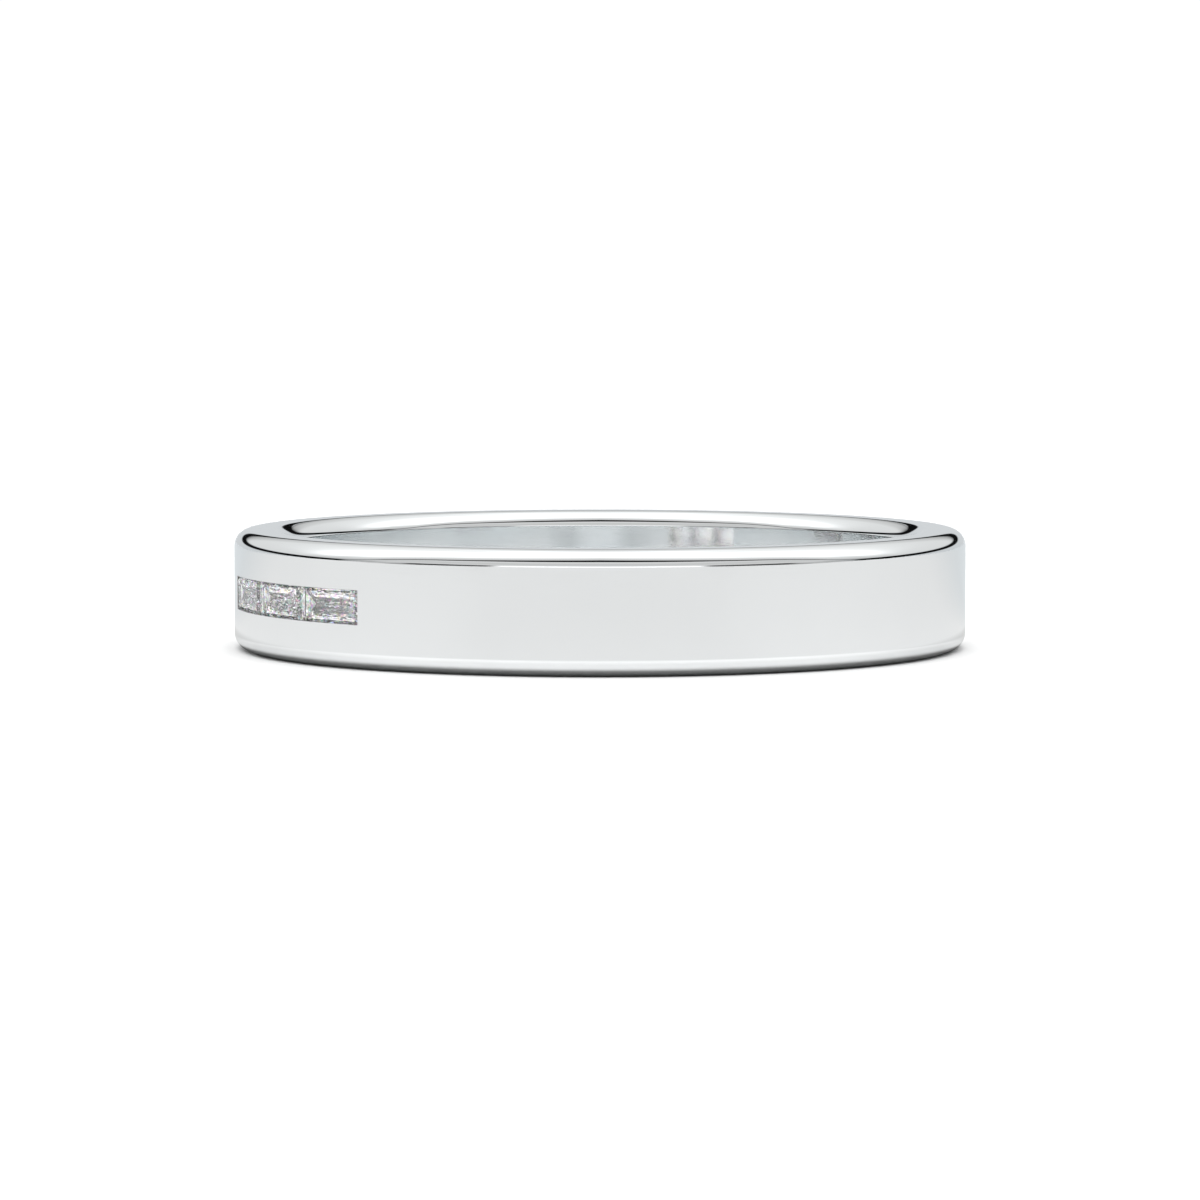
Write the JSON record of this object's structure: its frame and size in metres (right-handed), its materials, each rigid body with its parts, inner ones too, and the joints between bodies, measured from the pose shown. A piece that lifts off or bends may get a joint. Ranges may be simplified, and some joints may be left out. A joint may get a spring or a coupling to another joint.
{
  "type": "baguette band ring",
  "caption": "Plain polished white metal ring with a short row of step cut stones set flush in its outer wall, open at the back.",
  "frame": {"origin": "on the finger's axis, in the plane of the lower face that the ring lies on", "axes": "+Z along the finger's axis, -Y towards the front as pictured, +X to the right as pictured"},
  "size_m": [0.0203, 0.0202, 0.0033],
  "materials": {
    "white_metal": "polished white gold",
    "stone": "clear colourless gemstone, polished step cut"
  },
  "bodies": {
    "root": {"band": "white_metal", "baguette_right": "stone", "baguette_middle": "stone", "baguette_left": "stone"}
  },
  "joints": []
}
